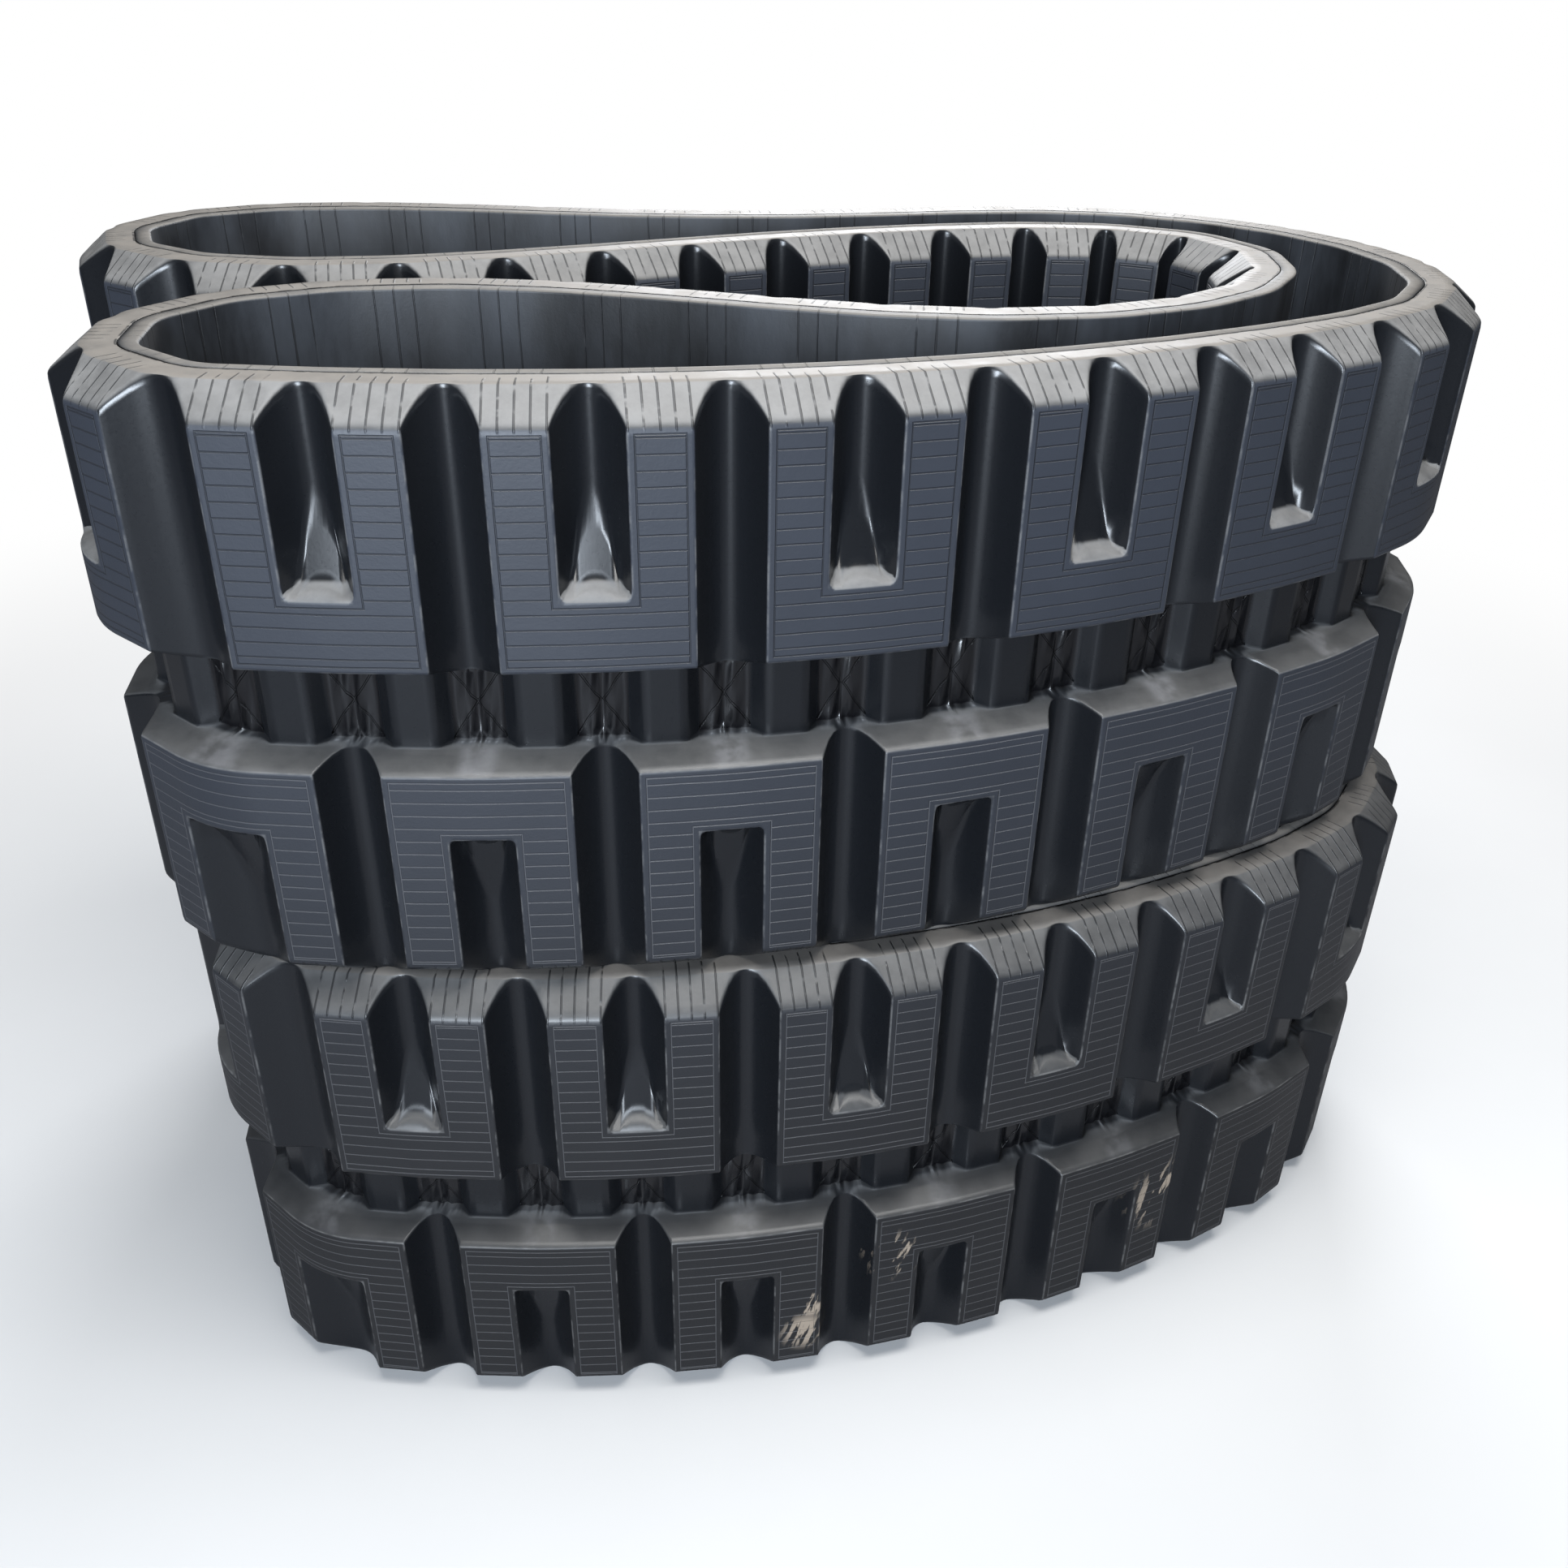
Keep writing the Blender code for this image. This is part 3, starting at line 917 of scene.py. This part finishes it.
@dataclass(frozen=True)
class Finish:
    """A finish in one base colour, with dust and painted top light on what faces up."""

    name: str
    slot: str
    base: Colour
    dust: Colour
    shine: float = 0.35
    metal: float = 0.0

    def material(self) -> Any:
        """The finish as Blender draws it.

        Returns:
            The Blender material.
        """
        made = bpy.data.materials.new(self.name)
        nodes = Nodes(made)
        spot = self.surface(nodes)
        bump = nodes.add("ShaderNodeBump", {}, Strength=1.0, Distance=MM, Height=spot.relief)
        shader = nodes.add(
            "ShaderNodeBsdfPrincipled",
            {},
            Base_Color=spot.colour,
            Roughness=spot.roughness,
            Metallic=self.metal,
            Specular_IOR_Level=self.shine,
            Coat_Weight=spot.gloss,
            Coat_Roughness=0.2,
            Normal=bump.outputs[0],
        )
        nodes.show("ShaderNodeOutputMaterial", shader)
        return made

    def surface(self, nodes: Nodes) -> Surface:
        """How the finish looks at each spot."""
        raise NotImplementedError

    def settled(self, nodes: Nodes, low: float, high: float) -> Value:
        """How much pale dust and painted top light there is, from how far the surface faces up.

        Args:
            nodes: the material's nodes.
            low: upward part of the normal up to which there is none.
            high: upward part of the normal from which there is most.

        Returns:
            The amount, from 0 to 1.
        """
        normal = nodes.add("ShaderNodeNewGeometry", {}).outputs["Normal"]
        _, _, upward = nodes.parts(normal)
        patchy = nodes.noise(nodes.vector("rest"), 38.0, 5.0, 0.65).ramp(0.25, 0.72)
        return upward.ramp(low, high) * (0.62 + 0.38 * patchy)


@dataclass
class TreadSpot:
    """Where a spot of the tread lies, and the noises that its look shares.

    The distances are in millimetres: along the run towards the web, without its sign, outward,
    from mid-width, and inward from the edge of the lug's face. The level is in metres.
    """

    nodes: Nodes
    rest: Any
    web: Value
    away: Value
    out: Value
    size: Value
    inside: Value
    level: Value
    on_face: Value
    window: Value
    cloud: Value
    fine: Value
    patchy: Value

    def noise(self, scale: float, detail: float) -> Value:
        """Noise about 0.5 at the spot."""
        return self.nodes.noise(self.rest, scale, detail)


@dataclass(frozen=True)
class TreadRubber(Finish):
    """Moulded tread rubber: ribbed faces, glossy grooves in painted shade, black films and upper sides pale
    with dust and painted top light.
    """

    # Painted shade: the dark tone of the same rubber in the grooves and recesses, also used for dark rib
    # and fin lines.
    groove: Colour = (0.007, 0.008, 0.010)
    film: Colour = (0.004, 0.004, 0.005)
    # Painted shade: the tone the rubber darkens to near the floor.
    grime: Colour = (0.012, 0.012, 0.013)
    band: Colour = (0.175, 0.157, 0.137)
    worn: Colour = (0.24, 0.24, 0.25)
    scuff: Colour = (0.33, 0.27, 0.21)
    rib_pitch: float = 10.6
    rib_width: float = 0.75
    border: float = 5.0
    fin_pitch: float = 10.0
    fin_width: float = 0.9

    # Where each scuff lies in metres, how far it reaches, and the noise from which it shows.
    SCUFFS = (
        ((0.048, -0.365, 0.058), 0.028, 0.47),
        ((0.052, -0.365, 0.092), 0.024, 0.54),
        ((0.124, -0.35, 0.136), 0.035, 0.58),
        ((0.388, -0.25, 0.115), 0.05, 0.54),
    )

    def spot(self, nodes: Nodes) -> TreadSpot:
        """What the parts of the look share.

        Args:
            nodes: the material's nodes.

        Returns:
            The values of a spot.
        """
        rest = nodes.vector("rest")
        along, out, up = nodes.parts(nodes.vector("place"))
        web = along * up.sign()
        away, size = along.size(), up.size()
        rise = size - Tread.root
        leg = (Tread.leg_half - away).least(rise).least(Tread.leg_end - size)
        bridge = (web + Tread.leg_half).least(rise).least(Tread.notch_top - size)
        _, _, level = nodes.parts(rest)
        return TreadSpot(
            nodes=nodes,
            rest=rest,
            web=web,
            away=away,
            out=out,
            size=size,
            inside=leg.most(bridge),
            level=level,
            on_face=out.ramp(Tread.face - 1.6, Tread.face - 0.4),
            window=(Tread.foot - size).ramp(0.0, 1.0) * (away - 24.0).ramp(0.0, 1.5),
            cloud=nodes.noise(rest, 9.0, 6.0, 0.6),
            fine=nodes.noise(rest, 420.0, 3.0, 0.7),
            patchy=nodes.noise(rest, 95.0, 2.0),
        )

    def ribs(self, at: TreadSpot) -> Value:
        """The ribs across a lug's face and the border round them.

        Args:
            at: the spot.

        Returns:
            1 on a line and 0 beside it.
        """
        wander = (at.noise(30.0, 2.0) - 0.5) * 0.8
        border = (at.inside - self.border + wander * 0.4).line(self.rib_width)
        ribs = (at.size - Tread.root + wander).every(self.rib_pitch).line(self.rib_width)
        ribs = ribs * at.inside.ramp(self.border - 0.2, self.border + 0.4)
        return border.most(ribs) * at.on_face

    def fins(self, at: TreadSpot) -> Value:
        """The fine fins up a lug's chamfer, which end unevenly.

        Args:
            at: the spot.

        Returns:
            1 on a fin and 0 beside it.
        """
        fins = at.away.every(self.fin_pitch).line(self.fin_width) * (24.0 - at.away).ramp(0.0, 1.0)
        fins = fins * at.size.ramp(Tread.leg_end - 4.0, Tread.leg_end - 1.0)
        return fins * (at.out + at.patchy * 16.0).ramp(9.0, 12.0) * at.patchy.ramp(0.3, 0.5)

    def tears(self, at: TreadSpot) -> Value:
        """The slanting tears in the window films."""
        uneven = (at.noise(26.0, 2.0) - 0.5) * 10.0
        return ((HALF_PITCH - at.away) * 1.45 - at.size + uneven).line(1.6) * at.window

    def scuffed(self, at: TreadSpot) -> Value:
        """Scratches in a few rubbed places near the floor.

        Args:
            at: the spot.

        Returns:
            1 on a scratch and 0 beside it.
        """
        lean, stretch, way = (0.0, 0.3, 0.0), (0.25, 0.25, 1.3), {"vector_type": "TEXTURE"}
        slanted = at.nodes.add("ShaderNodeMapping", way, at.rest, None, lean, stretch)
        streaks = at.nodes.noise(slanted.outputs[0], 34.0, 3.0, 0.6)
        whole = None
        for spot, reach, start in self.SCUFFS:
            near = 1.0 - at.nodes.distance(at.rest, spot).ramp(reach * 0.4, reach)
            place = near * streaks.ramp(start, start + 0.06)
            whole = place if whole is None else whole.most(place)
        return whole * (0.4 + 0.6 * at.on_face)

    def dusted(self, at: TreadSpot) -> Value:
        """Dust and painted top light on what faces up, less on the lower track, and set by place at a
        notch's foot.

        Args:
            at: the spot.

        Returns:
            The amount, from 0 to 1.
        """
        upper_track = at.level.ramp(0.44, 0.47)
        # Pale dust and painted top light: what faces up is painted paler, less so on the lower track and
        # near the shoulders.
        dust = self.settled(at.nodes, 0.3, 0.75) * (0.45 + 0.55 * upper_track)
        dust = dust * (1.0 - at.window) * (0.5 + 0.5 * at.size.ramp(42.0, 60.0))
        notch = (at.web - Tread.leg_half).ramp(0.0, 1.0) * (135.0 - at.size).ramp(0.0, 12.0)
        notch = notch * at.size.ramp(Tread.notch_top - 3.0, Tread.notch_top - 1.0)
        foot = self.settled(at.nodes, 0.2, 0.5) * (101.0 - at.size).ramp(0.0, 3.0)
        return dust * (1.0 - notch) + foot * notch * (0.4 + 0.6 * upper_track)

    def worn_tone(self, at: TreadSpot, dust: Value, tone: Any) -> Any:
        """The band's pale top edge, the rubbed pads under the webs, and pale edges of the faces, partly
        wear and partly painted highlight.

        Args:
            at: the spot.
            dust: how much dust and painted top light there is.
            tone: the colour without them.

        Returns:
            The colour with them.
        """
        # The band's top edge is painted paler and warmer where it faces up: dust and painted top light.
        top = at.size.ramp(HALF_WIDTH - 1.0, HALF_WIDTH - 0.1) * (18.5 - at.out).ramp(0.0, 2.0) * dust
        tone = at.nodes.mix(top * (0.5 + 0.5 * at.noise(70.0, 4.0)), tone, self.band)
        rubbed = 1.0 - (HALF_PITCH - at.web).size().ramp(6.0, 17.0)
        rubbed = rubbed * (Tread.root + 1.0 - at.size).ramp(0.0, 3.0)
        rubbed = rubbed * at.size.ramp(Tread.foot, Tread.foot + 1.0)
        rubbed = rubbed * dust * at.noise(40.0, 3.0).ramp(0.35, 0.6)
        tone = at.nodes.mix(rubbed, tone, self.worn)
        # A pale line along the edges of the lug faces: partly worn edges and partly a painted highlight
        # where the rounded edge catches light.
        worn = at.inside.size().line(1.4) * at.on_face * at.noise(60.0, 3.0).ramp(0.4, 0.65)
        return at.nodes.mix(worn * 0.5, tone, self.dust)

    def surface(self, nodes: Nodes) -> Surface:
        """How the finish looks at each spot.

        Args:
            nodes: the material's nodes.

        Returns:
            Its colour, roughness, relief and gloss.
        """
        at = self.spot(nodes)
        ribs, fins, dust = self.ribs(at), self.fins(at), self.dusted(at)
        # Painted shade: the rubber darkens towards the floor, as light falls from above.
        shaded_by_height = nodes.mix(at.level.ramp(0.2, 0.85), self.grime, self.base)
        # Painted shade: everything below the lug faces takes the dark shade tone, in the grooves, notches
        # and other recesses.
        tone = nodes.mix(at.on_face * (0.55 + 0.45 * at.cloud), self.groove, shaded_by_height)
        tone = nodes.mix(at.window, tone, self.film)
        # Dust and painted top light: upward faces take the pale tone.
        tone = nodes.mix(dust, tone, self.dust)
        tone = self.worn_tone(at, dust, tone)
        # Rib lines: dark in the shade tone on the upper row, painted shade in the rib creases, and pale in
        # the worn tone on the lower rows.
        upper_row = at.level.ramp(0.655, 0.685)
        faint = 0.16 + 0.1 * at.cloud + 0.3 * upper_row
        tone = nodes.mix(ribs * faint, tone, nodes.mix(upper_row, self.worn, self.groove))
        # The fins take the same dark tone as the grooves.
        tone = nodes.mix(fins * 0.75, tone, self.groove)
        seam = (at.out + 5.6).line(1.6) * at.size.ramp(HALF_WIDTH - 3.0, HALF_WIDTH - 1.0)
        tone = nodes.mix(seam * at.patchy.ramp(0.38, 0.55) * 0.8, tone, self.film)
        tone = nodes.mix(self.scuffed(at), tone, self.scuff)
        grain = at.fine - 0.5
        roughness = 0.29 + 0.19 * at.on_face + dust * 0.35 + grain * 0.1 - at.window * 0.05
        roughness = roughness + (at.size - (Tread.foot + 0.2)).line(2.4) * 0.3
        relief = ribs * -0.55 + fins * 0.5 - self.tears(at) * 2.5
        relief = relief + (0.2 + 0.8 * at.on_face) * (grain * 0.12 + (at.cloud - 0.5) * 0.6)
        return Surface(tone, roughness, relief, at.window * 0.25)


@dataclass(frozen=True)
class PathRubber(Finish):
    """Smooth inner rubber with fine mould lines, glossy where nothing has settled."""

    mark: Colour = (0.006, 0.007, 0.009)
    mark_pitch: float = 15.0

    def surface(self, nodes: Nodes) -> Surface:
        """How the finish looks at each spot.

        Args:
            nodes: the material's nodes.

        Returns:
            Its colour, roughness and relief.
        """
        rest = nodes.vector("rest")
        along, out, up = nodes.parts(nodes.vector("place"))
        away, size = along.size(), up.size()
        smooth = (RollerPath.face + 0.8 - out).ramp(0.0, 0.6)
        wander = (nodes.noise(rest, 22.0, 2.0) - 0.5) * 2.0
        fade = nodes.noise(rest, 40.0, 2.0).ramp(0.25, 0.45)
        lines = (away + wander).every(self.mark_pitch).line(0.8) * (24.0 - away).ramp(0.0, 2.0) * fade
        tall = nodes.add("ShaderNodeVectorMath", {"operation": "MULTIPLY"}, rest, (1.0, 1.0, 0.35))
        cloud = nodes.noise(tall.outputs[0], 14.0, 6.0, 0.62)
        fine = nodes.noise(rest, 500.0, 3.0, 0.7)
        # Pale dust and painted top light on what faces up.
        dust = self.settled(nodes, 0.35, 0.85)
        tone = nodes.mix(cloud.ramp(0.3, 0.75), self.mark, self.base)
        tone = nodes.mix(dust, tone, self.dust)
        tone = nodes.mix(lines * (0.35 + 0.5 * smooth), tone, self.mark)
        seam = (out + 6.8).line(1.4) * size.ramp(HALF_WIDTH - 3.0, HALF_WIDTH - 1.0) * fade
        tone = nodes.mix(seam * 0.8, tone, self.mark)
        roughness = 0.42 + 0.2 * cloud + dust * 0.25 + (fine - 0.5) * 0.08
        relief = lines * -0.4 + (cloud - 0.5) * 0.9 + (fine - 0.5) * 0.08
        return Surface(tone, roughness, relief)


@dataclass(frozen=True)
class CoreSteel(Finish):
    """Forged core steel under a skin of rubber, rubbed on the horns and rusty in spots."""

    metal: float = 0.45
    rust: Colour = (0.16, 0.07, 0.03)
    bare: Colour = (0.32, 0.32, 0.33)

    def surface(self, nodes: Nodes) -> Surface:
        """How the finish looks at each spot.

        Args:
            nodes: the material's nodes.

        Returns:
            Its colour, roughness and relief.
        """
        rest = nodes.vector("rest")
        _, out, _ = nodes.parts(nodes.vector("place"))
        cloud = nodes.noise(rest, 24.0, 6.0, 0.65)
        fine = nodes.noise(rest, 300.0, 4.0, 0.7)
        rubbed = (CoreRow.horn_tip + 10.0 - out).ramp(0.0, 8.0) * cloud.ramp(0.35, 0.6)
        tone = nodes.mix(rubbed, self.base, self.bare)
        tone = nodes.mix(nodes.noise(rest, 52.0, 5.0, 0.7).ramp(0.56, 0.7), tone, self.rust)
        # Pale dust and painted top light on what faces up.
        tone = nodes.mix(self.settled(nodes, 0.4, 0.95) * 0.7, tone, self.dust)
        roughness = 0.62 - rubbed * 0.2 + (fine - 0.5) * 0.2
        return Surface(tone, roughness, (fine - 0.5) * 0.3 + (cloud - 0.5) * 0.5)


@dataclass(frozen=True)
class Lamp:
    """A soft lamp: where it hangs, the point it faces, its width and height, watts and tint."""

    name: str
    spot: Place
    aim: Place
    size: tuple[float, float]
    watts: float
    tint: Colour

    def hang(self) -> None:
        """Adds the lamp to the scene."""
        data = bpy.data.lights.new(self.name, "AREA")
        data.shape = "RECTANGLE"
        data.size, data.size_y = self.size
        data.energy = self.watts
        data.color = self.tint
        lamp = bpy.data.objects.new(self.name, data)
        lamp.location = self.spot
        lamp.rotation_mode = "QUATERNION"
        lamp.rotation_quaternion = (Vector(self.aim) - Vector(self.spot)).to_track_quat("-Z", "Y")
        bpy.context.scene.collection.objects.link(lamp)


@dataclass
class Studio:
    """Floor, soft lamps, backdrop and the camera of the photo."""

    floor_size: float = 30.0
    floor_light: Colour = (0.2, 0.2, 0.21)
    paint: tuple[Colour, Colour] = ((0.6, 0.6, 0.6), (0.64, 0.64, 0.64))
    sky: Colour = (0.93, 0.96, 1.0)
    sky_strength: float = 0.14
    eye: Place = (0.0204, -1.2483, 1.1432)
    tilt: float = 0.53073
    roll: float = 0.020293
    lens: float = 33.336

    LAMPS = (
        Lamp("sky", (0.25, -0.5, 2.7), (0, 0, 0.6), (1.8, 1.2), 78.0, (1.0, 0.99, 0.97)),
        Lamp("door", (-0.45, -3.0, 1.35), (-0.05, 0, 0.7), (0.55, 1.3), 118.0, (0.8, 0.89, 1.0)),
        Lamp("wall", (0.3, 2.6, 1.9), (0, 0, 0.5), (1.6, 1.2), 75.0, (0.95, 0.97, 1.0)),
    )
    WHITE = (1.0, 1.0, 1.0, 1.0)

    def make_floor(self) -> None:
        """A pale floor that keeps the shadow and fades into the backdrop."""
        half = self.floor_size / 2
        points = np.array([(x * half, y * half, 0.0) for x, y in ((-1, -1), (1, -1), (1, 1), (-1, 1))])
        floor = make_piece("floor", points, [(0, 1, 2, 3)])
        made = bpy.data.materials.new("floor_paint")
        nodes = Nodes(made)
        spot = nodes.add("ShaderNodeTexCoord", {}).outputs["Object"]
        seen = Value(nodes, nodes.add("ShaderNodeLightPath", {}).outputs["Is Camera Ray"])
        tone = nodes.mix(seen, self.floor_light, nodes.mix(nodes.noise(spot, 3.0, 4.0), *self.paint))
        shader = nodes.add("ShaderNodeBsdfPrincipled", {}, Base_Color=tone, Roughness=0.8)
        bright = nodes.add("ShaderNodeEmission", {}, self.WHITE, 1.0)
        far = nodes.distance(spot, (0.0, 0.0, 0.0)).ramp(0.9, 2.4) * seen
        both = nodes.add("ShaderNodeMixShader", {}, far, shader.outputs[0], bright.outputs[0])
        nodes.show("ShaderNodeOutputMaterial", both)
        floor.data.materials.append(made)

    def make_world(self) -> None:
        """Even light from all round, seen as a white backdrop."""
        world = bpy.data.worlds.new("backdrop")
        nodes = Nodes(world)
        lit = nodes.add("ShaderNodeBackground", {}, (*self.sky, 1.0), self.sky_strength)
        white = nodes.add("ShaderNodeBackground", {}, self.WHITE, 1.0)
        seen = nodes.add("ShaderNodeLightPath", {}).outputs["Is Camera Ray"]
        both = nodes.add("ShaderNodeMixShader", {}, seen, lit.outputs[0], white.outputs[0])
        nodes.show("ShaderNodeOutputWorld", both)
        bpy.context.scene.world = world

    def make_camera(self) -> None:
        """The camera fitted to the photo."""
        right = Vector((1, 0, 0))
        ahead = Vector((0, math.cos(self.tilt), -math.sin(self.tilt)))
        above = right.cross(ahead)
        side = right * math.cos(self.roll) + above * math.sin(self.roll)
        top = above * math.cos(self.roll) - right * math.sin(self.roll)
        turn = Matrix((side, top, -ahead)).transposed().to_4x4()
        data = bpy.data.cameras.new("camera")
        data.sensor_width = 36.0
        data.lens = self.lens
        data.clip_start, data.clip_end = 0.02, 100.0
        camera = bpy.data.objects.new("camera", data)
        camera.matrix_world = Matrix.Translation(self.eye) @ turn
        bpy.context.scene.collection.objects.link(camera)
        bpy.context.scene.camera = camera

    def build(self) -> None:
        """Sets up the whole studio."""
        self.make_floor()
        self.make_world()
        for lamp in self.LAMPS:
            lamp.hang()
        self.make_camera()
        bpy.context.scene.view_settings.view_transform = "Standard"


FINISHES = {
    Layer.TREAD: TreadRubber(
        "tread_rubber_look", "tread_rubber", (0.037, 0.043, 0.057), (0.172, 0.170, 0.167), 0.5
    ),
    Layer.PATH_TOP: PathRubber(
        "path_rubber_look", "roller_path_rubber", (0.034, 0.040, 0.050), (0.145, 0.135, 0.122), 0.7
    ),
    Layer.CORES: CoreSteel("core_steel_look", "core_steel", (0.045, 0.045, 0.05), (0.16, 0.155, 0.14)),
}


def build_track(track: Track, materials: dict[Layer, Any]) -> int:
    """Builds one track and reports its pieces.

    Args:
        track: the track.
        materials: the Blender material of each layer.

    Returns:
        How many pieces were made.
    """
    line = CordLine(track)
    makers = {
        Layer.TREAD: Tread(line, track),
        Layer.CORES: CoreRow(line, track),
        Layer.PATH_TOP: RollerPath(line, track, row=1),
        Layer.PATH_BOTTOM: RollerPath(line, track, row=-1),
    }
    for run in RUNS:
        for layer, maker in makers.items():
            piece = maker.make(run)
            look = Layer.PATH_TOP if layer is Layer.PATH_BOTTOM else layer
            piece.data.materials.append(materials[look])
            log.info("%s: %d faces", piece.name, len(piece.data.polygons))
    return len(RUNS) * len(makers)


def main() -> None:
    """Builds the pair of tracks in its studio."""
    logging.basicConfig(level=logging.INFO, format="%(name)s: %(message)s")
    materials = {layer: finish.material() for layer, finish in FINISHES.items()}
    for track in Track:
        log.info("%s track: %d pieces", track.value, build_track(track, materials))
    Studio().build()


if __name__ == "__main__":
    main()
